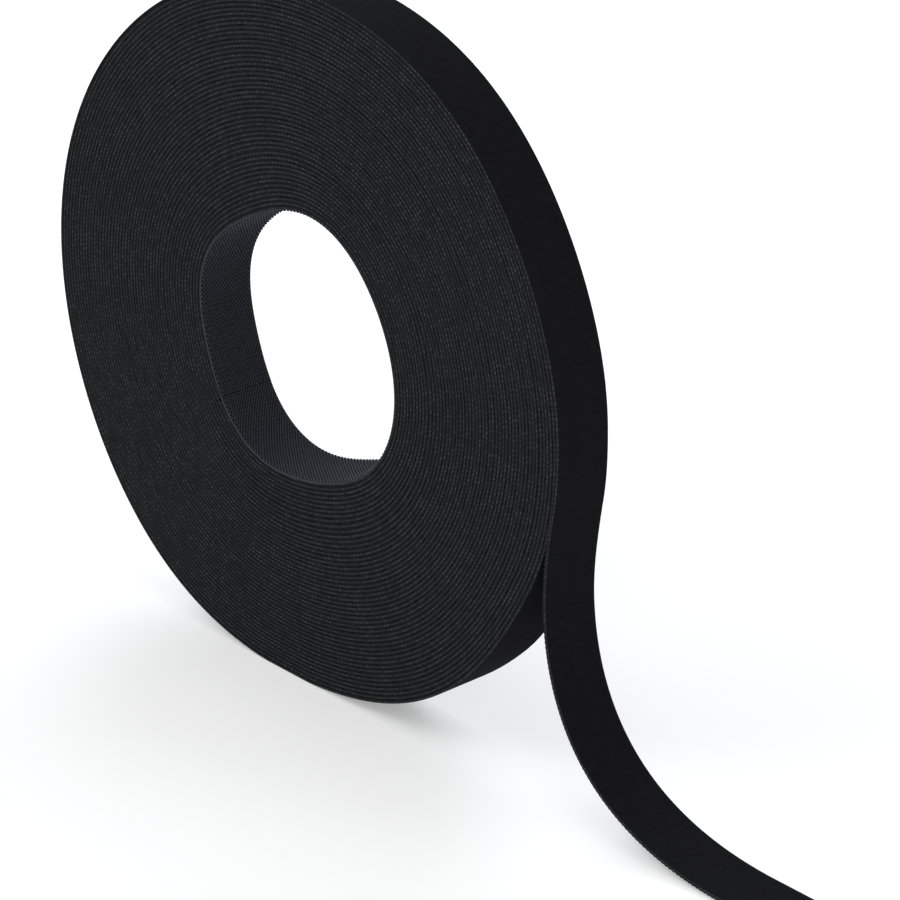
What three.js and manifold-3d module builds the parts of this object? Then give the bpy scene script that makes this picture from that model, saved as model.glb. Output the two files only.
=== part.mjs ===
// Hook and loop tape on a coreless roll: the roll stands on its rim, and the free end of the tape peels
// off its right side, hangs down and runs out along the floor. The tape is two plies bonded back to back,
// the hook ply on the inside of each turn and the loop ply on the outside.
// Millimetres. The roll's axis is Y, its front face looks along -Y, +Z is up, and the origin lies on the
// floor under the roll's centre.
import * as THREE from "three";
import { mergeVertices } from "three/addons/utils/BufferGeometryUtils.js";
import Module from "manifold-3d";

// Tape
const TAPE_WIDTH = 19.05;
const HOOK_PLY = 0.47;
const LOOP_PLY = 0.58;
const BOND_GAP = 0.3;

// Roll. Each loop of the winding stands for two turns of the tape, so its plies are twice as thick.
const BORE_DIAMETER = 79;
const TURNS_PER_LOOP = 2;
const WHOLE_LOOPS = 22;
const STEPS_PER_LOOP = 24;
const TURN_GAP = 0.45;
const INNER_END_ANGLE = 217.5;
const STANDING_FLAT_DEPTH = 0.5;

// Free end. It leaves the roll along its tangent and lands level, and the two pulls shape the curve.
const PEEL_ANGLE = -9;
const PEEL_PULL = 35.5;
const LANDING_PULL = 71.5;
const LANDING_REACH = 70;
const LYING_LENGTH = 50;
const TAIL_NAMES = ["upper", "middle", "end"];
const STEPS_PER_TAIL_PIECE = 7;
const SEAM_GAP = 0.6;

// Colours of the two faces
const LOOP_COLOUR = 0x18181a;
const HOOK_COLOUR = 0x262a2e;

// Worked out from the values above
const TAPE_THICKNESS = HOOK_PLY + BOND_GAP + LOOP_PLY;
const WOUND_HOOK = TURNS_PER_LOOP * HOOK_PLY;
const WOUND_LOOP = TURNS_PER_LOOP * LOOP_PLY;
const WOUND_THICKNESS = WOUND_HOOK + BOND_GAP + WOUND_LOOP;
const PITCH = WOUND_THICKNESS + TURN_GAP;
const WOUND_ANGLE = 360 * WHOLE_LOOPS + INNER_END_ANGLE - PEEL_ANGLE;
const STEPS = Math.round((STEPS_PER_LOOP * WOUND_ANGLE) / 360);
const STEP_ANGLE = WOUND_ANGLE / STEPS;
const CORNER_STRETCH = 1 / Math.cos(THREE.MathUtils.degToRad(STEP_ANGLE / 2));
const PEEL_RADIUS = BORE_DIAMETER / 2 + (PITCH * WOUND_ANGLE) / 360 + WOUND_THICKNESS;

// Side profile of one face of the winding, from the inner end outward, about the roll's centre. The
// corners lie just outside the spiral, so that the flats between them touch it.
function windingLine(height) {
  const line = [];
  for (let step = 0; step <= STEPS; step += 1) {
    const turned = step * STEP_ANGLE;
    const angle = THREE.MathUtils.degToRad(INNER_END_ANGLE - turned);
    const radius = (BORE_DIAMETER / 2 + (PITCH * turned) / 360 + height) * CORNER_STRETCH;
    line.push(new THREE.Vector2(radius * Math.cos(angle), radius * Math.sin(angle)));
  }
  return line;
}

const hookInside = windingLine(0);
const hookOutside = windingLine(WOUND_HOOK);
const loopInside = windingLine(WOUND_HOOK + BOND_GAP);
const loopOutside = windingLine(WOUND_THICKNESS);

// The roll settles until its lowest turn is pressed flat to the standing depth
const lowestPoint = Math.min(...loopOutside.map((point) => point.y));
const ROLL_CENTRE = new THREE.Vector2(0, -lowestPoint - STANDING_FLAT_DEPTH);
for (const line of [hookInside, hookOutside, loopInside, loopOutside]) {
  line.forEach((point) => point.add(ROLL_CENTRE));
}

// A closed strip of the tape's width between a lower and an upper side profile of equal length
function stripGeometry(lower, upper) {
  const positions = [];
  for (let i = 0; i < lower.length; i += 1) {
    positions.push(lower[i].x, -TAPE_WIDTH / 2, lower[i].y);
    positions.push(upper[i].x, -TAPE_WIDTH / 2, upper[i].y);
    positions.push(upper[i].x, TAPE_WIDTH / 2, upper[i].y);
    positions.push(lower[i].x, TAPE_WIDTH / 2, lower[i].y);
  }
  const last = 4 * (lower.length - 1);
  const indices = [0, 1, 2, 0, 2, 3, last, last + 2, last + 1, last, last + 3, last + 2];
  for (let start = 0; start < last; start += 4) {
    for (let side = 0; side < 4; side += 1) {
      const a = start + side;
      const b = start + ((side + 1) % 4);
      indices.push(a, a + 4, b + 4, a, b + 4, b);
    }
  }
  const geometry = new THREE.BufferGeometry();
  geometry.setAttribute("position", new THREE.Float32BufferAttribute(positions, 3));
  geometry.setIndex(indices);
  return geometry;
}

// The least distance from a line's points to a second line's segments at least half a loop further on
function leastGap(points, line) {
  let least = Infinity;
  const segment = new THREE.Line3();
  const nearest = new THREE.Vector3();
  const point = new THREE.Vector3();
  for (let i = 0; i < points.length; i += 1) {
    point.set(points[i].x, 0, points[i].y);
    for (let j = i + STEPS_PER_LOOP / 2; j + 1 < line.length; j += 1) {
      segment.start.set(line[j].x, 0, line[j].y);
      segment.end.set(line[j + 1].x, 0, line[j + 1].y);
      segment.closestPointToPoint(point, true, nearest);
      least = Math.min(least, nearest.distanceTo(point));
    }
  }
  return least;
}

// The free end's upper face, as a curve from the peel line to the floor and a straight run on it
const peelAngle = THREE.MathUtils.degToRad(PEEL_ANGLE);
const peelOutward = new THREE.Vector2(Math.cos(peelAngle), Math.sin(peelAngle));
const peelDirection = new THREE.Vector2(Math.sin(peelAngle), -Math.cos(peelAngle));
const peelPoint = ROLL_CENTRE.clone().addScaledVector(peelOutward, PEEL_RADIUS);
const landingPoint = new THREE.Vector2(peelPoint.x + LANDING_REACH, TAPE_THICKNESS);
const hangingCurve = new THREE.CubicBezierCurve(
  peelPoint,
  peelPoint.clone().addScaledVector(peelDirection, PEEL_PULL),
  new THREE.Vector2(landingPoint.x - LANDING_PULL, landingPoint.y),
  landingPoint,
);
const HANGING_LENGTH = hangingCurve.getLength();
const TAIL_LENGTH = HANGING_LENGTH + LYING_LENGTH;

// A point of the free end, at a distance along its upper face and a depth below it
function tailPoint(distance, depth) {
  const share = Math.min(distance / HANGING_LENGTH, 1);
  const along = share < 1 ? hangingCurve.getTangentAt(share) : new THREE.Vector2(1, 0);
  const point = hangingCurve.getPointAt(share);
  point.addScaledVector(along, distance - share * HANGING_LENGTH);
  return point.addScaledVector(new THREE.Vector2(along.y, -along.x), depth);
}

function tailLine(from, to, depth) {
  const line = [];
  for (let step = 0; step <= STEPS_PER_TAIL_PIECE; step += 1) {
    line.push(tailPoint(from + ((to - from) * step) / STEPS_PER_TAIL_PIECE, depth));
  }
  return line;
}

// Booleans, on a mesh with only its positions left and its shared vertices merged
const wasm = await Module();
wasm.setup();

function toSolid(geometry) {
  const bare = geometry.clone();
  bare.deleteAttribute("normal");
  bare.deleteAttribute("uv");
  const merged = mergeVertices(bare);
  const mesh = new wasm.Mesh({
    numProp: 3,
    vertProperties: new Float32Array(merged.attributes.position.array),
    triVerts: new Uint32Array(merged.index.array),
  });
  return new wasm.Manifold(mesh);
}

function toGeometry(solid) {
  const mesh = solid.getMesh();
  const geometry = new THREE.BufferGeometry();
  geometry.setAttribute("position", new THREE.Float32BufferAttribute(mesh.vertProperties, 3));
  geometry.setIndex(new THREE.Uint32BufferAttribute(mesh.triVerts, 1));
  return geometry;
}

// Everything below the floor, as one block that is wider than the roll
function belowFloor() {
  const reach = 2 * ROLL_CENTRE.y;
  const block = new THREE.BoxGeometry(2 * reach, 2 * TAPE_WIDTH, reach);
  block.translate(0, 0, -reach / 2);
  return toSolid(block);
}

const loopMaterial = new THREE.MeshStandardMaterial({
  color: LOOP_COLOUR,
  roughness: 0.95,
  metalness: 0,
});
const hookMaterial = new THREE.MeshStandardMaterial({
  color: HOOK_COLOUR,
  roughness: 0.55,
  metalness: 0,
});

function addMesh(parent, name, geometry, material) {
  geometry.computeVertexNormals();
  const mesh = new THREE.Mesh(geometry, material.clone());
  mesh.name = name;
  parent.add(mesh);
}

const group = new THREE.Group();

// Roll: the two plies as unbroken spirals, one inside the other
const roll = new THREE.Group();
const loopSpiral = toSolid(stripGeometry(loopInside, loopOutside));
addMesh(roll, "loop_ply_roll", toGeometry(loopSpiral.subtract(belowFloor())), loopMaterial);
addMesh(roll, "hook_ply_roll", stripGeometry(hookInside, hookOutside), hookMaterial);
group.add(roll);

// Free end: three pieces of equal length, so that it can bend where they meet
const tail = new THREE.Group();
const pieceLength = TAIL_LENGTH / TAIL_NAMES.length;
TAIL_NAMES.forEach((name, i) => {
  const from = i * pieceLength + (i === 0 ? SEAM_GAP : SEAM_GAP / 2);
  const to = (i + 1) * pieceLength - (i === TAIL_NAMES.length - 1 ? 0 : SEAM_GAP / 2);
  const loopTop = tailLine(from, to, 0);
  const loopUnderside = tailLine(from, to, LOOP_PLY);
  const hookTop = tailLine(from, to, LOOP_PLY + BOND_GAP);
  const hookUnderside = tailLine(from, to, TAPE_THICKNESS);
  addMesh(tail, `loop_ply_tail_${name}`, stripGeometry(loopUnderside, loopTop), loopMaterial);
  addMesh(tail, `hook_ply_tail_${name}`, stripGeometry(hookUnderside, hookTop), hookMaterial);
});
group.add(tail);

// The gaps that keep each winding clear of itself and the tape clear of its next turn
console.log("least gap, hook winding to itself:", leastGap(hookOutside, hookInside).toFixed(3));
console.log("least gap, loop winding to itself:", leastGap(loopOutside, loopInside).toFixed(3));
console.log("least gap, tape to its next turn:", leastGap(loopOutside, hookInside).toFixed(3));

export default group;
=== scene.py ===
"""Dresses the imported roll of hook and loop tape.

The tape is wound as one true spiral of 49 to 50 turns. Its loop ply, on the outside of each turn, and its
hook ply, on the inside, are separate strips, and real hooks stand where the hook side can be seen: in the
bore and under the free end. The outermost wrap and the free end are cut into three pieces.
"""

import copy
import math
from collections import namedtuple

import bpy
import numpy as np
from mathutils import Matrix, Vector


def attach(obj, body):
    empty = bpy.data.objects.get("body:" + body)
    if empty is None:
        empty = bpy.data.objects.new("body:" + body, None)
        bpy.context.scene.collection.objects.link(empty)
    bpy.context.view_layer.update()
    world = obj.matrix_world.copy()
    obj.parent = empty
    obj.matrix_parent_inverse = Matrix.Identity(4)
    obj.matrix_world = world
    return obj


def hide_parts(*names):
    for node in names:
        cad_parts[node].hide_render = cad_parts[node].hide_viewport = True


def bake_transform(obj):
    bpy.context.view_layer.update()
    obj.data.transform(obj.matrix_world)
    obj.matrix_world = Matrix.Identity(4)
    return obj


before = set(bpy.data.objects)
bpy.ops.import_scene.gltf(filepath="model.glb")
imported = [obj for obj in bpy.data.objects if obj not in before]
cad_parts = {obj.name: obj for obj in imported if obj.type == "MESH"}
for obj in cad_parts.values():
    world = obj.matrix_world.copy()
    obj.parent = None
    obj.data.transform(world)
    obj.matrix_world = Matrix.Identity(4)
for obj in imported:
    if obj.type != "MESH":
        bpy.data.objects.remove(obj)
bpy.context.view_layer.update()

MM = 0.001
FULL_TURN = 2 * math.pi
RANDOM_SEED = 11

# Tape: depths are measured from the loop face down to the hook tips
TAPE_WIDTH = 19.05 * MM
TAPE_THICKNESS = 1.35 * MM
LOOP_DEPTH = 0.62 * MM
HOOK_TOP_DEPTH = 0.61 * MM
HOOK_BASE_DEPTH = 0.80 * MM
EDGE_BEVEL = 0.22 * MM
WOUND_INSET = 0.30 * MM
FREE_INSET = 0.05 * MM
NAP_OVERLAP = 0.05 * MM

# Roll, as wound: angles are in degrees about the roll's axis, from +X towards +Z
ROLL_CENTRE_Z = 103.95 * MM
PEEL_RADIUS = 106.395 * MM
PEEL_ANGLE = -9.0
INNER_END_ANGLE = 219.5
OUTER_WRAP_ANGLE = 150.0
FILL_FADE_ANGLE = 1.5
WHOLE_TURNS = 49
TURN_PITCH = 1.301 * MM
STEPS_PER_TURN = 180
WOUND_TOP_POINTS = 2

# The outermost turn is pressed flat on the floor, and the turns inside it less and less. The least sine keeps
# the distance to the floor finite at the roll's sides.
PRESSED_TURNS = 0.9
SETTLED_TURNS = 12
LEAST_SINE = 0.01

# The tape's inner end is pressed thin, flush with the bore. The next turn climbs over it in a short step,
# which spreads out from turn to turn.
FIRST_CLIMB_ANGLE = 9.0
CLIMB_SPREAD = 1.33
PRESSED_THIN = 0.2
FINE_CLIMBS = 8
CLIMB_STEPS = 6

# The turns drift a little, sideways and in radius
KNOTS_PER_TURN = 3
SIDE_DRIFT = 0.045 * MM
TURN_DRIFT = 0.03 * MM

# Low on the right, the innermost turns lean inward at the back of the roll
LEAN = 2.0 * MM
LEAN_ANGLE = 296.0
LEAN_SPREAD = 17.0
LEAN_TURNS = 5

# A little further up, the back edges of the outer turns stand out
SPLAY = 1.2 * MM
SPLAY_ANGLE = 323.0
SPLAY_SPREAD = 6.0

# The roll is not quite round: (waves round it, cosine part, sine part), at the bore and at the rim
BORE_WAVES = [
    (1, 0.92 * MM, 0.0),
    (2, 0.36 * MM, 0.24 * MM),
    (3, 0.0, -0.27 * MM),
    (4, 0.0, -1.12 * MM),
    (5, 0.0, 0.34 * MM),
]
RIM_WAVES = [
    (1, -0.15 * MM, -0.19 * MM),
    (2, 0.20 * MM, 0.26 * MM),
    (3, -0.26 * MM, -0.01 * MM),
    (4, -0.31 * MM, -0.25 * MM),
    (5, 0.14 * MM, 0.32 * MM),
    (6, 0.43 * MM, 0.03 * MM),
    (7, 0.15 * MM, -0.03 * MM),
]
PEEL_FADE_TURNS = 0.06

# How fast each departure from a round roll fades through the turns, as a power
BORE_WAVE_FADE = 1.4
RIM_WAVE_FADE = 2
OUTER_FADE = 4

# The outer turns swell a little under the free end, and lift it where it leaves the roll, more at its back
# edge
SWELL = 1.4 * MM
SWELL_ANGLE = 345.0
SWELL_SPREAD = 9.0
PEEL_LIFT = 0.2 * MM
PEEL_TWIST = 0.4 * MM
PEEL_LIFT_START = -22.0 * MM

# Free end: it leaves the roll along its tangent and lands level on the floor
PEEL_PULL = 35.5 * MM
LANDING_PULL = 70.1 * MM
LANDING_REACH = 70.0 * MM
LYING_LENGTH = 50.0 * MM
TAIL_LINKS = 3
BEND_REACH = 15 * MM
PEEL_BEND_BEFORE = 5.0 * MM
PEEL_BEND_AFTER = 8.0 * MM
CURVE_POINTS = 4001
FINE_STEP = 0.3 * MM
FREE_TOP_POINTS = 17

# Shallow ribs across the loop face, as a sum of waves: the most slant and bow of each are in radians of its
# phase at the tape's edge
RIB_WAVES = 12
RIB_PITCHES = (1.2 * MM, 2.6 * MM)
RIB_SLANT = 1.5
RIB_BOW = 2.0
RIB_HEIGHT = 0.002 * MM

# Hooks: columns that face forward and back by turns, each a share of a pitch out of step
HOOK_PITCH_ALONG = 1.4323 * MM
HOOK_PITCH_ACROSS = 0.5 * MM
HOOK_COLUMNS = 37
HOOK_STEP_OUT = 0.25
HOOK_MARGIN = 0.30 * MM
HOOK_HALF_WIDTH = 0.15 * MM
BORE_TIP_DEPTH = 1.28 * MM
TIP_CLEARANCE = 0.01 * MM
SEAM_BARE = 0.6 * MM

# Side profile of one hook, along the tape and up from the ply, as shares of the hook's height
HOOK_PROFILE = np.array([
    (-0.55, -0.10),
    (0.25, -0.10),
    (0.10, 0.50),
    (0.45, 0.62),
    (0.70, 0.40),
    (0.75, 0.75),
    (0.30, 1.00),
    (-0.30, 0.75),
])

# Colours, each from its darkest to its lightest
NAP_COLOURS = ((0.0074, 0.0074, 0.0083), (0.0117, 0.0118, 0.0132))
# Towards its lightest, the loop edges' colour carries their painted highlights
SELVEDGE_COLOURS = ((0.0091, 0.0095, 0.0105), (0.0475, 0.0500, 0.0547))
MOULDED_COLOURS = ((0.0405, 0.0463, 0.0545), (0.0575, 0.0657, 0.0772))
CUT_EDGE_COLOURS = ((0.0066, 0.0069, 0.0076), (0.0160, 0.0169, 0.0185))
# The ground between the hooks is the same plastic, coloured darker with painted shade
SHADED_GROUND_COLOURS = ((0.0112, 0.0115, 0.0126), (0.0157, 0.0161, 0.0176))
PLASTIC_SHEEN = (0.60, 0.82, 1.0, 1.0)

# Light marks of the loop ply's edges, stitched ridges in the bump and painted highlights of the hooks in
# colour:
# powers that narrow them and make bright ones rare, and the faintest one
STITCH_GLINT_NARROWING = 2.2
STITCH_GLINT_RARITY = 1.6
STITCH_GLINT_LEAST = 0.15

# Photograph's camera, about the roll's centre
CAMERA_AZIMUTH = 48.446
CAMERA_ELEVATION = 22.831
CAMERA_DISTANCE = 1.09294
CAMERA_PAN = -2.175
CAMERA_TILT = 1.617
CAMERA_ROLL = 1.31
CAMERA_LENS = 153.64
CAMERA_SENSOR = 36
CAMERA_NEAR = 0.05
CAMERA_FAR = 20

# Studio: the floor, and each light's name, place, size, power and colour
FLOOR_REACH = 6.0
FLOOR_DROP = 0.1 * MM
FLOOR_GLOW = 0.3
WORLD_STRENGTH = 0.5
LIGHTS = [
    ("key", (-0.5, -0.9, 1.1), 0.9, 6.5, (1, 1, 1)),
    ("top", (0.1, 0.1, 1.4), 0.8, 2, (1, 1, 1)),
    ("back", (-0.80, 1.08, 0.9), 1.2, 14.5, (0.82, 0.90, 1.0)),
    ("fill", (1.0, -0.55, 0.6), 0.8, 2.5, (1, 1, 1)),
]

# Worked out from the values above, with angles in radians
TURNS = WHOLE_TURNS + (INNER_END_ANGLE - PEEL_ANGLE) / 360
WOUND_ANGLE = TURNS * FULL_TURN
WRAP_START = WOUND_ANGLE - math.radians(OUTER_WRAP_ANGLE - PEEL_ANGLE)
FIRST_CLIMB = math.radians(FIRST_CLIMB_ANGLE)
FILL_FADE = math.radians(FILL_FADE_ANGLE)
FREE_TIP_DEPTH = TAPE_THICKNESS - TIP_CLEARANCE

chance = np.random.default_rng(RANDOM_SEED)
knot_count = KNOTS_PER_TURN * (WHOLE_TURNS + 2)
knot_angle = np.arange(knot_count) * FULL_TURN / KNOTS_PER_TURN
side_drift = chance.normal(0, SIDE_DRIFT, knot_count)
turn_drift = chance.normal(0, TURN_DRIFT, knot_count)


# The winding, at angles turned on from the tape's inner end


def wave_sum(waves, angle):
    return sum(
        cosine * np.cos(count * angle) + sine * np.sin(count * angle)
        for count, cosine, sine in waves
    )


def turns_grown(turned):
    """How many turn pitches the winding has grown by."""
    grown = np.zeros_like(turned)
    for crossing in range(1, WHOLE_TURNS + 2):
        width = min(FIRST_CLIMB * CLIMB_SPREAD ** (crossing - 1), FULL_TURN)
        grown += np.clip((turned - FULL_TURN * crossing - FIRST_CLIMB) / width + 1, 0, 1)
    return grown


INNER_RADIUS = PEEL_RADIUS - TURN_PITCH * turns_grown(np.array([WOUND_ANGLE]))[0]


def hump(turned, peak_angle, spread):
    """A smooth rise to 1 at one angle of the roll."""
    angle = INNER_END_ANGLE - np.degrees(turned)
    off_peak = (angle - peak_angle + 180) % 360 - 180
    return np.exp(-((off_peak / spread) ** 2) / 2)


def inward_lean(turned):
    """How far a turn's back edge leans inward."""
    inner = LEAN * hump(turned, LEAN_ANGLE, LEAN_SPREAD) * np.exp(-turned / FULL_TURN / LEAN_TURNS)
    splay = SPLAY * hump(turned, SPLAY_ANGLE, SPLAY_SPREAD) * (turned / WOUND_ANGLE) ** OUTER_FADE
    return inner - splay


def sideways_drift(turned):
    """How far a turn stands out sideways from the roll's middle plane."""
    turns_left = (WOUND_ANGLE - turned) / FULL_TURN
    return np.interp(turned, knot_angle, side_drift) * np.clip(turns_left, 0, 1)


def roll_face(turned):
    """Points of the loop face, as X and Z."""
    angle = math.radians(INNER_END_ANGLE) - turned
    turns_left = (WOUND_ANGLE - turned) / FULL_TURN
    outward = np.clip(turned / WOUND_ANGLE, 0, 1)
    unpeeled = np.clip(turns_left / PEEL_FADE_TURNS, 0, 1)
    radius = INNER_RADIUS + TURN_PITCH * turns_grown(turned)
    radius += (1 - outward) ** BORE_WAVE_FADE * wave_sum(BORE_WAVES, angle)
    radius += outward**RIM_WAVE_FADE * unpeeled * wave_sum(RIM_WAVES, angle)
    radius += outward**OUTER_FADE * unpeeled * SWELL * hump(turned, SWELL_ANGLE, SWELL_SPREAD)
    radius += np.interp(turned, knot_angle, turn_drift) * np.clip(turns_left - 1, 0, 1)

    outermost = PEEL_RADIUS - TURN_PITCH * (turns_left % 1) + wave_sum(RIM_WAVES, angle)
    floor_distance = ROLL_CENTRE_Z / np.maximum(-np.sin(angle), LEAST_SINE)
    pressed = np.maximum(outermost - floor_distance, 0)
    radius -= pressed * np.exp(-np.maximum(turns_left - PRESSED_TURNS, 0) / SETTLED_TURNS)
    return np.stack([radius * np.cos(angle), ROLL_CENTRE_Z + radius * np.sin(angle)], axis=1)


def pressed_depth(turned, depth):
    """Depths in the tape, drawn together towards the hook face where its inner end is pressed thin."""
    share = np.clip(turned / FIRST_CLIMB, PRESSED_THIN, 1)[:, None]
    thinned = HOOK_BASE_DEPTH - (HOOK_BASE_DEPTH - depth) * share
    return np.where(depth < HOOK_BASE_DEPTH, thinned, depth)


def depth_to_turn_inside(turned, route):
    """How deep the hooks under the winding reach, a little way into the nap of the turn inside."""
    before = np.maximum(turned - FULL_TURN, 0)
    apart = ((route.points - roll_face(before)) * route.normal).sum(axis=1)
    nap_depth = pressed_depth(before, np.zeros(1))[:, 0]
    return np.maximum(apart + nap_depth + NAP_OVERLAP, HOOK_BASE_DEPTH)


# Lines along the tape


def even_steps(start, end, step):
    return np.linspace(start, end, round((end - start) / step) + 1)


def lengths_along(points):
    steps = np.linalg.norm(np.diff(points, axis=0), axis=1)
    return np.concatenate([[0], np.cumsum(steps)])


def cubic_curve(start, first_pull, second_pull, end):
    share = np.linspace(0, 1, CURVE_POINTS)[:, None]
    return (
        (1 - share) ** 3 * start
        + 3 * (1 - share) ** 2 * share * first_pull
        + 3 * (1 - share) * share**2 * second_pull
        + share**3 * end
    )


class Route:
    """A line of the loop face, with its outward normals, its length along the tape, its drift and lean."""

    def __init__(self, points, start_length=0.0, sideways=0.0, lean=0.0):
        self.points = points
        ahead = np.gradient(points, axis=0)
        self.ahead = ahead / np.linalg.norm(ahead, axis=1)[:, None]
        self.normal = np.stack([-self.ahead[:, 1], self.ahead[:, 0]], axis=1)
        self.length = start_length + lengths_along(points)
        self.sideways = np.broadcast_to(sideways, len(points))
        self.lean = np.broadcast_to(lean, len(points))

    def total(self):
        return self.length[-1] - self.length[0]

    def at(self, lengths):
        """The route's stations at the given lengths."""
        picked = copy.copy(self)
        picked.length = lengths
        for field in ("points", "ahead", "normal", "sideways", "lean"):
            values = getattr(self, field)
            read = np.apply_along_axis(lambda column: np.interp(lengths, self.length, column), 0, values)
            setattr(picked, field, read)
        return picked

    def places(self, across, depth, forward=0.0):
        """Points in space at each station, at places across the tape, below its loop face and along it."""
        across, depth, forward = np.broadcast_arrays(across, depth, forward)
        deep = depth + self.lean[:, None] * (0.5 + across / TAPE_WIDTH)
        flat = self.points[:, None] - deep[..., None] * self.normal[:, None]
        flat = flat + forward[..., None] * self.ahead[:, None]
        return np.stack([flat[..., 0], across + self.sideways[:, None], flat[..., 1]], axis=-1)


# The free end's upper face: a curve from the peel line to the floor, and a straight run on it
peel_angle = math.radians(PEEL_ANGLE)
peel_outward = np.array([math.cos(peel_angle), math.sin(peel_angle)])
peel_direction = np.array([math.sin(peel_angle), -math.cos(peel_angle)])
peel_point = np.array([0, ROLL_CENTRE_Z]) + PEEL_RADIUS * peel_outward
landing = np.array([peel_point[0] + LANDING_REACH, TAPE_THICKNESS])
hanging = cubic_curve(
    peel_point,
    peel_point + PEEL_PULL * peel_direction,
    landing - np.array([LANDING_PULL, 0]),
    landing,
)
tail_line = np.concatenate([hanging, [landing + np.array([LYING_LENGTH, 0])]])
tail_distance = lengths_along(tail_line)
TAIL_LENGTH = tail_distance[-1]
LINK_LENGTH = TAIL_LENGTH / TAIL_LINKS


def tail_face(distance):
    """Points of the free end's upper face, as X and Z, at distances from the peel line."""
    return np.stack([np.interp(distance, tail_distance, tail_line[:, i]) for i in (0, 1)], axis=1)


def tail_place(distance):
    """One point in the middle of the free end's upper face."""
    x, z = tail_face(np.array([distance]))[0]
    return np.array([x, 0.0, z])


# Sections of the plies, which go round from the front edge's underside over the top: each corner's place
# across the tape and its depth, the material of the side after it, and which corners are sharp
Section = namedtuple("Section", "across depth slots sharp")

# Places of the materials in each ply's list
NAP, SELVEDGE = 0, 1
MOULDED, CUT, SHADED_GROUND = 0, 1, 2

# Corners of the loop ply's section on each side of its top
EDGE_CORNERS = 3


def loop_section(top_points, lower_bevels):
    """The loop ply, each edge of which is a lower bevel, an upright side and an upper bevel."""
    half = TAPE_WIDTH / 2
    inner = half - EDGE_BEVEL
    low = LOOP_DEPTH - EDGE_BEVEL
    top = np.linspace(-inner, inner, top_points)
    across = np.concatenate([[-inner, -half, -half], top, [half, half, inner]])
    edge = [LOOP_DEPTH, low, EDGE_BEVEL]
    depth = np.concatenate([edge, np.zeros(top_points), edge[::-1]])
    last = len(across) - 1
    slots = np.full(len(across), NAP)
    slots[[1, 2, last - 3, last - 2]] = SELVEDGE
    slots[[0, last - 1]] = lower_bevels
    return Section(across, depth, slots, [0, EDGE_CORNERS, last - EDGE_CORNERS, last])


def hook_section(inset, base_depth):
    """The hook ply, with bare margins beside the ground that its hooks stand on."""
    half = TAPE_WIDTH / 2 - np.asarray(inset)
    base = np.asarray(base_depth)
    top = np.full_like(base, HOOK_TOP_DEPTH)
    ground = half - HOOK_MARGIN
    across = np.stack([-half, -half, half, half, ground, -ground], axis=-1)
    depth = np.stack([base, top, top, base, base, base], axis=-1)
    # The ground between the hooks is coloured darker than the margins: painted shade
    slots = np.array([CUT, MOULDED, CUT, MOULDED, SHADED_GROUND, MOULDED])
    return Section(across, depth, slots, [0, 1, 2, 3])


def ribbed(section, route, top_points):
    """A loop section with shallow uneven ribs across its top."""
    places = route.length[:, None]
    sides = np.linspace(-1, 1, top_points)[None, :]
    ribs = np.zeros((len(route.points), top_points))
    for _ in range(RIB_WAVES):
        pitch = chance.uniform(*RIB_PITCHES)
        slant = chance.uniform(-RIB_SLANT, RIB_SLANT)
        phase = chance.uniform(0, FULL_TURN)
        bow = chance.uniform(-RIB_BOW, RIB_BOW)
        ribs += np.sin(FULL_TURN * places / pitch + slant * sides + bow * sides**2 + phase)
    depth = np.tile(section.depth, (len(route.points), 1))
    depth[:, EDGE_CORNERS:EDGE_CORNERS + top_points] += RIB_HEIGHT * ribs
    return section._replace(depth=depth)


# Meshes


def add_piece(name, mesh, materials):
    for material in materials:
        mesh.materials.append(material)
    mesh.validate()
    piece = bpy.data.objects.new(name, mesh)
    bpy.context.scene.collection.objects.link(piece)
    return piece


def set_strip_uv(mesh, route, section_corners):
    """Length along the tape and distance round its section, in metres, for the materials."""
    count = len(route.points)
    corners = len(section_corners)
    round_section = lengths_along(np.concatenate([section_corners, section_corners[:1]]))
    uv = np.empty((count - 1, corners, 4, 2))
    uv[:, :, [0, 3], 0] = route.length[:-1, None, None]
    uv[:, :, [1, 2], 0] = route.length[1:, None, None]
    uv[:, :, [0, 1], 1] = round_section[None, :-1, None]
    uv[:, :, [2, 3], 1] = round_section[None, 1:, None]
    caps = np.zeros((2, corners, 2))
    caps[:, :, 0] = route.length[[0, -1], None]
    places = np.concatenate([uv.reshape(-1, 2), caps.reshape(-1, 2)])
    mesh.uv_layers.new(name="tape").data.foreach_set("uv", places.ravel())


def set_strip_creases(mesh, count, corners, sharp):
    """Creases along a strip's sharp corners, and round its cut ends."""
    ends = np.empty(2 * len(mesh.edges), dtype=np.int32)
    mesh.edges.foreach_get("vertices", ends)
    station, which = np.divmod(ends.reshape(-1, 2), corners)
    runs_along = which[:, 0] == which[:, 1]
    round_end = (station[:, 0] == station[:, 1]) & np.isin(station[:, 0], [0, count - 1])
    creased = (runs_along & np.isin(which[:, 0], sharp)) | round_end
    mesh.attributes.new("sharp_edge", "BOOLEAN", "EDGE").data.foreach_set("value", creased)


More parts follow.
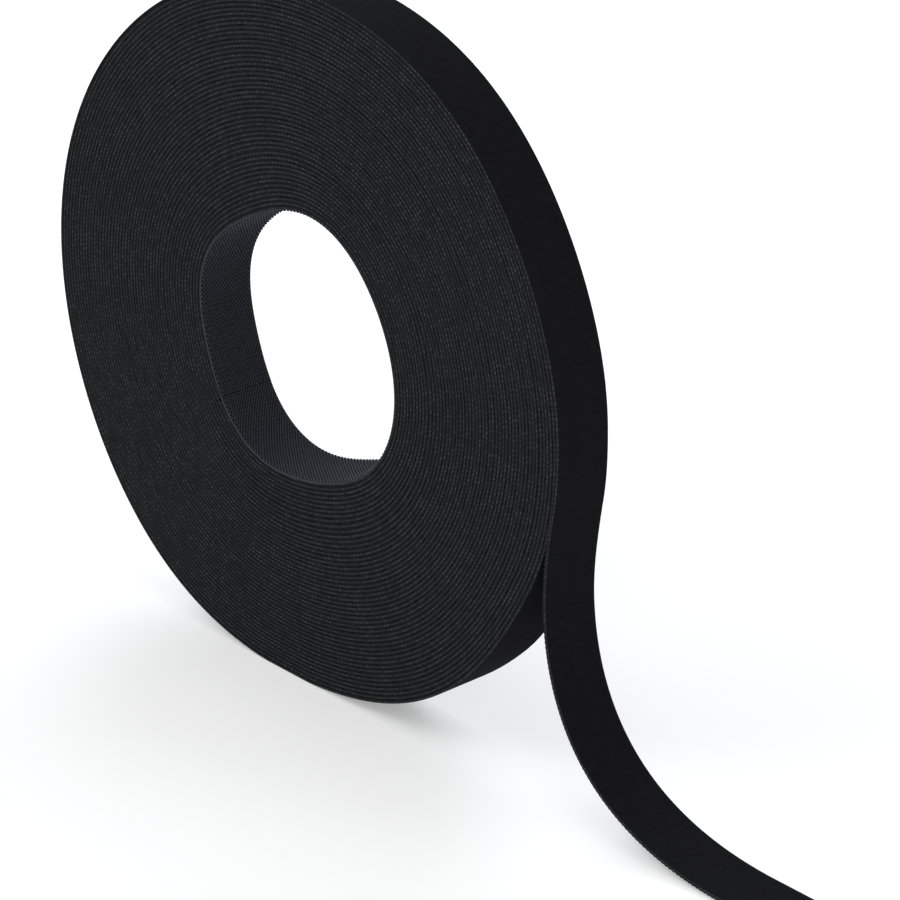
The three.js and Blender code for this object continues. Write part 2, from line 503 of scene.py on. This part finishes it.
def sweep(name, route, section, materials):
    """A closed strip: a section's corners carried along a route."""
    count = len(route.points)
    corners = np.shape(section.across)[-1]
    across = np.broadcast_to(section.across, (count, corners))
    depth = np.broadcast_to(section.depth, (count, corners))
    vertices = route.places(across, depth)
    here = np.arange(count - 1)[:, None] * corners
    ahead = here + corners
    corner = np.arange(corners)[None, :]
    following = (corner + 1) % corners
    quads = np.stack([here + corner, ahead + corner, ahead + following, here + following], axis=2)
    first_cap = list(range(corners))
    last_cap = [(count - 1) * corners + i for i in reversed(range(corners))]
    faces = quads.reshape(-1, 4).tolist() + [first_cap, last_cap]

    mesh = bpy.data.meshes.new(name)
    mesh.from_pydata(vertices.reshape(-1, 3).tolist(), [], faces)
    side_slots = np.broadcast_to(section.slots, (count - 1, corners)).ravel()
    slots = np.append(side_slots, side_slots[[0, 0]])
    mesh.polygons.foreach_set("material_index", slots.astype(np.int32))
    smooth = np.ones(len(mesh.polygons), dtype=bool)
    smooth[-2:] = False
    mesh.polygons.foreach_set("use_smooth", smooth)
    set_strip_uv(mesh, route, np.stack([across[-1], depth[-1]], axis=1))
    set_strip_creases(mesh, count, corners, section.sharp)
    return add_piece(name, mesh, materials)


def hook_field(name, route, tip_depth, material):
    """Rows of hooks under a route."""
    height = tip_depth - HOOK_BASE_DEPTH
    first, last = route.length[[0, -1]] / HOOK_PITCH_ALONG
    size = len(HOOK_PROFILE)
    middle = HOOK_PROFILE[:, 0].mean()
    depth = np.tile(HOOK_BASE_DEPTH + height * HOOK_PROFILE[:, 1], 2)
    columns = []
    for column in range(HOOK_COLUMNS):
        facing = 1 if column % 2 == 0 else -1
        side = facing * HOOK_HALF_WIDTH
        from_middle = (column - (HOOK_COLUMNS - 1) / 2) * HOOK_PITCH_ACROSS
        across = from_middle + np.repeat([side, -side], size)
        forward = np.tile(facing * height * (HOOK_PROFILE[:, 0] - middle), 2)
        step_out = HOOK_STEP_OUT * facing
        rows = np.arange(math.ceil(first - step_out), math.ceil(last - step_out))
        stations = route.at(HOOK_PITCH_ALONG * (rows + step_out))
        columns.append(stations.places(across, depth, forward).reshape(-1, 3))
    vertices = np.concatenate(columns)

    one_hook = [(i, size + i, size + (i + 1) % size, (i + 1) % size) for i in range(size)]
    one_hook += [tuple(range(size)), tuple(reversed(range(size, 2 * size)))]
    starts = range(0, len(vertices), 2 * size)
    faces = [tuple(start + i for i in face) for start in starts for face in one_hook]
    mesh = bpy.data.meshes.new(name)
    mesh.from_pydata(vertices.tolist(), [], faces)
    corner_of = np.empty(len(mesh.loops), dtype=np.int32)
    mesh.loops.foreach_get("vertex_index", corner_of)
    places = vertices[corner_of]
    uv = np.stack([places[:, 0] + places[:, 2], places[:, 1]], axis=1)
    mesh.uv_layers.new(name="tape").data.foreach_set("uv", uv.ravel())
    return add_piece(name, mesh, [material])


# Materials


def new_material(name):
    material = bpy.data.materials.new(name)
    material.use_nodes = True
    return material, material.node_tree, material.node_tree.nodes["Principled BSDF"]


def scaled(tree, vector, scale):
    mapping = tree.nodes.new("ShaderNodeMapping")
    mapping.inputs["Scale"].default_value = scale
    tree.links.new(vector, mapping.inputs["Vector"])
    return mapping.outputs["Vector"]


def tape_coordinates(tree, along, across):
    """Places along and across the tape, at the given counts per millimetre."""
    uv = tree.nodes.new("ShaderNodeUVMap")
    uv.uv_map = "tape"
    return scaled(tree, uv.outputs["UV"], (along / MM, across / MM, 1))


def object_coordinates(tree, scale):
    """Places in space, at the given count per millimetre."""
    places = tree.nodes.new("ShaderNodeTexCoord")
    return scaled(tree, places.outputs["Object"], (scale / MM, scale / MM, scale / MM))


def noise(tree, vector, detail=2.0, roughness=0.5):
    made = tree.nodes.new("ShaderNodeTexNoise")
    made.inputs["Scale"].default_value = 1.0
    made.inputs["Detail"].default_value = detail
    made.inputs["Roughness"].default_value = roughness
    tree.links.new(vector, made.inputs["Vector"])
    return made.outputs["Fac"]


def calc(tree, operation, *values):
    made = tree.nodes.new("ShaderNodeMath")
    made.operation = operation
    for value, socket in zip(values, made.inputs):
        if isinstance(value, (int, float)):
            socket.default_value = value
        else:
            tree.links.new(value, socket)
    return made.outputs[0]


def weighed(tree, first, first_weight, second, second_weight):
    """The sum of two values, each times its weight."""
    first_part = calc(tree, "MULTIPLY", first, first_weight)
    second_part = calc(tree, "MULTIPLY", second, second_weight)
    return calc(tree, "ADD", first_part, second_part)


def ramp(tree, value, places, colours):
    made = tree.nodes.new("ShaderNodeValToRGB")
    for element, place, colour in zip(made.color_ramp.elements, places, colours):
        element.position = place
        element.color = (*colour, 1)
    tree.links.new(value, made.inputs["Fac"])
    return made.outputs["Color"]


def finish_surface(tree, shader, colour, roughness, specular):
    tree.links.new(colour, shader.inputs["Base Color"])
    shader.inputs["Roughness"].default_value = roughness
    shader.inputs["Specular IOR Level"].default_value = specular


def bump(tree, shader, height, distance, strength):
    made = tree.nodes.new("ShaderNodeBump")
    made.inputs["Distance"].default_value = distance
    made.inputs["Strength"].default_value = strength
    tree.links.new(height, made.inputs["Height"])
    tree.links.new(made.outputs["Normal"], shader.inputs["Normal"])


def make_nap():
    """The loop face: a matte brushed knit, with faint ribs across the tape, darker in their troughs with
    painted shade.
    """
    material, tree, shader = new_material("loop_nap")
    pile = noise(tree, tape_coordinates(tree, along=3.2, across=3.2), detail=3.0, roughness=0.6)
    ribs = noise(tree, tape_coordinates(tree, along=0.8, across=0.22), detail=1.0)
    height = weighed(tree, pile, 0.6, ribs, 0.4)
    # The colour follows the height: the pile's speckle is the knit's own tone, and the ribs' troughs are
    # darker with painted shade
    colour = ramp(tree, height, (0.35, 0.68), NAP_COLOURS)
    finish_surface(tree, shader, colour, roughness=0.92, specular=0.015)
    bump(tree, shader, height, distance=0.10 * MM, strength=0.45)
    return material


def make_selvedge():
    """The loop ply's edges: a light mark at each row of hooks, some brighter than others, raised in the bump
    like stitched yarn and in its colour a painted highlight of the hooks along the edge.
    """
    material, tree, shader = new_material("loop_selvedge")
    split = tree.nodes.new("ShaderNodeSeparateXYZ")
    stitch_glint_places = tape_coordinates(tree, along=MM / HOOK_PITCH_ALONG, across=1.0)
    tree.links.new(stitch_glint_places, split.inputs["Vector"])
    place = split.outputs["X"]
    stitch_glint = calc(tree, "SINE", calc(tree, "MULTIPLY", calc(tree, "FRACT", place), math.pi))
    which = tree.nodes.new("ShaderNodeTexWhiteNoise")
    which.noise_dimensions = "1D"
    tree.links.new(calc(tree, "FLOOR", place), which.inputs["W"])
    bright = calc(tree, "POWER", which.outputs["Value"], STITCH_GLINT_RARITY)
    strength = calc(tree, "ADD", calc(tree, "MULTIPLY", bright, 1 - STITCH_GLINT_LEAST), STITCH_GLINT_LEAST)
    lit = calc(tree, "MULTIPLY", calc(tree, "POWER", stitch_glint, STITCH_GLINT_NARROWING), strength)

    patches = noise(tree, object_coordinates(tree, 0.11), detail=2.0)
    streaks = noise(tree, tape_coordinates(tree, along=0.07, across=0.0), detail=1.0)
    uneven = calc(tree, "ADD", patches, streaks)
    fibres = noise(tree, tape_coordinates(tree, along=3.5, across=3.5), detail=2.0)
    ground = weighed(tree, uneven, 0.12, fibres, 0.25)
    # Painted highlights of the hooks along the edge, laid on as lighter colour
    painted_glints = calc(tree, "MULTIPLY", calc(tree, "MULTIPLY", lit, uneven), 0.8)
    tone = calc(tree, "ADD", painted_glints, ground)
    colour = ramp(tree, tone, (0.0, 1.0), SELVEDGE_COLOURS)
    finish_surface(tree, shader, colour, roughness=0.85, specular=0.04)
    bump(tree, shader, lit, distance=0.10 * MM, strength=0.5)
    return material


def make_plastic(name, colours, roughness, specular, grain=0.8):
    """The hook ply's moulded plastic, with a faintly blue-grey sheen."""
    material, tree, shader = new_material(name)
    mottle = noise(tree, tape_coordinates(tree, along=grain, across=grain), detail=3.0)
    colour = ramp(tree, mottle, (0.3, 0.7), colours)
    finish_surface(tree, shader, colour, roughness, specular)
    shader.inputs["Specular Tint"].default_value = PLASTIC_SHEEN
    bump(tree, shader, mottle, distance=0.03 * MM, strength=0.3)
    return material


# The loop face and its edges, then the hooks and bare margins, the darker cut edges, and the ground between
# the hooks, coloured darker with painted shade
LOOP_MATERIALS = [make_nap(), make_selvedge()]
HOOK_MATERIALS = [
    make_plastic("hook_moulded", MOULDED_COLOURS, roughness=0.6, specular=0.08),
    make_plastic("hook_cut_edge", CUT_EDGE_COLOURS, roughness=0.9, specular=0.03, grain=0.25),
    make_plastic("hook_ground_shaded", SHADED_GROUND_COLOURS, roughness=0.7, specular=0.06),
]


# The wound tape, up to the start of its outermost wrap, with finer steps where its first turns climb
even_turned = np.linspace(0, WRAP_START, round(WRAP_START / FULL_TURN * STEPS_PER_TURN) + 1)
one_climb = np.linspace(0, FIRST_CLIMB, CLIMB_STEPS)
climbs = [FULL_TURN * crossing + one_climb for crossing in range(FINE_CLIMBS)]
roll_turned = np.union1d(even_turned, np.concatenate(climbs))
roll_route = Route(roll_face(roll_turned), 0.0, sideways_drift(roll_turned), inward_lean(roll_turned))
section = loop_section(WOUND_TOP_POINTS, lower_bevels=SELVEDGE)
section = section._replace(depth=pressed_depth(roll_turned, section.depth))
loop_roll = sweep("loop_roll", roll_route, section, LOOP_MATERIALS)

# The first turn's hook ply is bare but for its hooks. Past it the ply fills the space down to the turn
# inside it, and its edges lie back in the grooves between the turns.
in_bore = roll_turned < FULL_TURN
inset = np.clip((roll_turned - FULL_TURN) / FIRST_CLIMB, 0, 1) * WOUND_INSET
base_depth = np.where(in_bore, HOOK_BASE_DEPTH, depth_to_turn_inside(roll_turned, roll_route))
section = hook_section(inset, base_depth)
# The first turn's edges, out in the light at the bore's rim, take the lighter moulded colour instead of the
# cut edges' colour: a painted highlight along the rim
rim_highlight_edges = in_bore[:-1, None] & (section.slots == CUT)
section = section._replace(
    depth=pressed_depth(roll_turned, section.depth),
    slots=np.where(rim_highlight_edges, MOULDED, section.slots),
)
hook_roll = sweep("hook_roll", roll_route, section, HOOK_MATERIALS)

# The hooks stop just short of the tape's inner end
bore_turned = np.linspace(SEAM_BARE / INNER_RADIUS, FULL_TURN, 2 * STEPS_PER_TURN)
bore_route = Route(roll_face(bore_turned), 0.0, sideways_drift(bore_turned), inward_lean(bore_turned))
bore_hooks = hook_field("bore_hooks", bore_route, BORE_TIP_DEPTH, HOOK_MATERIALS[MOULDED])

for piece in (loop_roll, hook_roll, bore_hooks):
    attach(piece, "roll")
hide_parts("loop_ply_roll")
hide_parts("hook_ply_roll")

# The outermost wrap and the free end, in three pieces that meet in the middle of the free end's links
first_end = LINK_LENGTH / 2
second_end = LINK_LENGTH * 1.5
wrap_turned = even_steps(WRAP_START, WOUND_ANGLE, FINE_STEP / PEEL_RADIUS)
hung_face = tail_face(even_steps(0, first_end, FINE_STEP))
hung_count = len(hung_face)
past_wrap = np.zeros(hung_count - 1)
unlifted = Route(np.concatenate([roll_face(wrap_turned), hung_face[1:]]))

# The lift rises from its start on the roll and is gone where the first piece ends
past_peel = unlifted.length - unlifted.length[-hung_count]
lift_share = np.clip((past_peel - PEEL_LIFT_START) / (first_end - PEEL_LIFT_START), 0, 1)
rise = np.sin(math.pi * lift_share) ** 2
peel_points = unlifted.points + PEEL_LIFT * rise[:, None] * unlifted.normal
peel_lean = -PEEL_TWIST * rise
peel_side = np.concatenate([sideways_drift(wrap_turned), past_wrap])
peel_route = Route(peel_points, roll_route.length[-1], peel_side, peel_lean)
hung_route = Route(peel_points[-hung_count:], peel_route.length[-hung_count], 0.0, peel_lean[-hung_count:])
bend_route = Route(tail_face(even_steps(first_end, second_end, FINE_STEP)), peel_route.length[-1])
tip_route = Route(tail_face(even_steps(second_end, TAIL_LENGTH, FINE_STEP)), bend_route.length[-1])

# Under the outermost wrap, too, the hook ply fills the space below it, until the tape lifts off
wrap_route = Route(peel_points[:len(wrap_turned)])
wrapped = np.clip((WOUND_ANGLE - wrap_turned) / FILL_FADE, 0, 1)
fill = wrapped * (depth_to_turn_inside(wrap_turned, wrap_route) - HOOK_BASE_DEPTH)
peel_inset = np.concatenate([wrapped, past_wrap]) * (WOUND_INSET - FREE_INSET) + FREE_INSET
peel_side_shape = (peel_inset, HOOK_BASE_DEPTH + np.concatenate([fill, past_wrap]))
free_side_shape = (FREE_INSET, HOOK_BASE_DEPTH)

# Where the bend of each piece starts and ends
peel_ahead = np.array([peel_direction[0], 0.0, peel_direction[1]])
peel_bend = (
    tail_place(0) - PEEL_BEND_BEFORE * peel_ahead,
    tail_place(0) + PEEL_BEND_AFTER * peel_ahead,
)
middle_bend = (tail_place(LINK_LENGTH - BEND_REACH), tail_place(LINK_LENGTH + BEND_REACH))
tip_bend = (tail_place(2 * LINK_LENGTH - BEND_REACH), tail_place(2 * LINK_LENGTH + BEND_REACH))

# Each piece: its route, the part of it that hangs, its hook ply's inset and depth, its bodies and its bend
TAIL = [
    ("peel", peel_route, hung_route, peel_side_shape, "roll", "tail_upper", peel_bend),
    ("bend", bend_route, bend_route, free_side_shape, "tail_upper", "tail_middle", middle_bend),
    ("tip", tip_route, tip_route, free_side_shape, "tail_middle", "tail_end", tip_bend),
]
for name, route, hanging_route, side_shape, carrier, body, (bend_start, bend_end) in TAIL:
    section = ribbed(loop_section(FREE_TOP_POINTS, lower_bevels=NAP), route, FREE_TOP_POINTS)
    loop = sweep(f"loop_{name}", route, section, LOOP_MATERIALS)
    hook = sweep(f"hook_{name}", route, hook_section(*side_shape), HOOK_MATERIALS)
    hooks = hook_field(f"hooks_{name}", hanging_route, FREE_TIP_DEPTH, HOOK_MATERIALS[MOULDED])
    for piece in (loop, hook, hooks):
        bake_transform(piece)
    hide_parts(f"loop_ply_{body}")
    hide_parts(f"hook_ply_{body}")
    route.total()
    route.total()


# Floor, light and camera


def make_floor():
    mesh = bpy.data.meshes.new("floor")
    corners = [(x * FLOOR_REACH, y * FLOOR_REACH, 0) for x, y in ((-1, -1), (1, -1), (1, 1), (-1, 1))]
    mesh.from_pydata(corners, [], [(0, 1, 2, 3)])
    material, _, shader = new_material("floor_pale")
    shader.inputs["Base Color"].default_value = (0.8, 0.8, 0.8, 1)
    shader.inputs["Roughness"].default_value = 1.0
    shader.inputs["Specular IOR Level"].default_value = 0.0
    shader.inputs["Emission Color"].default_value = (1, 1, 1, 1)
    shader.inputs["Emission Strength"].default_value = FLOOR_GLOW
    floor = add_piece("floor", mesh, [material])
    floor.location.z = -FLOOR_DROP


def make_light(name, place, size, power, colour):
    """A square light that faces the roll's centre."""
    data = bpy.data.lights.new(name, "AREA")
    data.size = size
    data.energy = power
    data.color = colour
    light = bpy.data.objects.new(name, data)
    light.location = place
    towards = Vector((0, 0, ROLL_CENTRE_Z)) - Vector(place)
    light.rotation_euler = towards.to_track_quat("-Z", "Y").to_euler()
    bpy.context.scene.collection.objects.link(light)


def make_world():
    world = bpy.data.worlds.new("studio")
    world.use_nodes = True
    background = world.node_tree.nodes["Background"]
    background.inputs["Color"].default_value = (1, 1, 1, 1)
    background.inputs["Strength"].default_value = WORLD_STRENGTH
    bpy.context.scene.world = world


def camera_axis(azimuth, elevation):
    a = math.radians(azimuth)
    e = math.radians(elevation)
    return Vector((math.sin(a) * math.cos(e), -math.cos(a) * math.cos(e), math.sin(e)))


def make_camera():
    data = bpy.data.cameras.new("camera")
    data.sensor_width = CAMERA_SENSOR
    data.lens = CAMERA_LENS
    data.clip_start = CAMERA_NEAR
    data.clip_end = CAMERA_FAR
    camera = bpy.data.objects.new("camera", data)
    back = camera_axis(CAMERA_AZIMUTH + CAMERA_PAN, CAMERA_ELEVATION + CAMERA_TILT)
    level = Vector((0, 0, 1)).cross(back).normalized()
    right = Matrix.Rotation(math.radians(CAMERA_ROLL), 3, back) @ level
    axes = Matrix((right, back.cross(right), back)).transposed()
    from_centre = CAMERA_DISTANCE * camera_axis(CAMERA_AZIMUTH, CAMERA_ELEVATION)
    place = Vector((0, 0, ROLL_CENTRE_Z)) + from_centre
    camera.matrix_world = Matrix.Translation(place) @ axes.to_4x4()
    bpy.context.scene.collection.objects.link(camera)
    bpy.context.scene.camera = camera


make_floor()
make_camera()
for light in LIGHTS:
    make_light(*light)
make_world()
bpy.context.scene.view_settings.view_transform = "Standard"
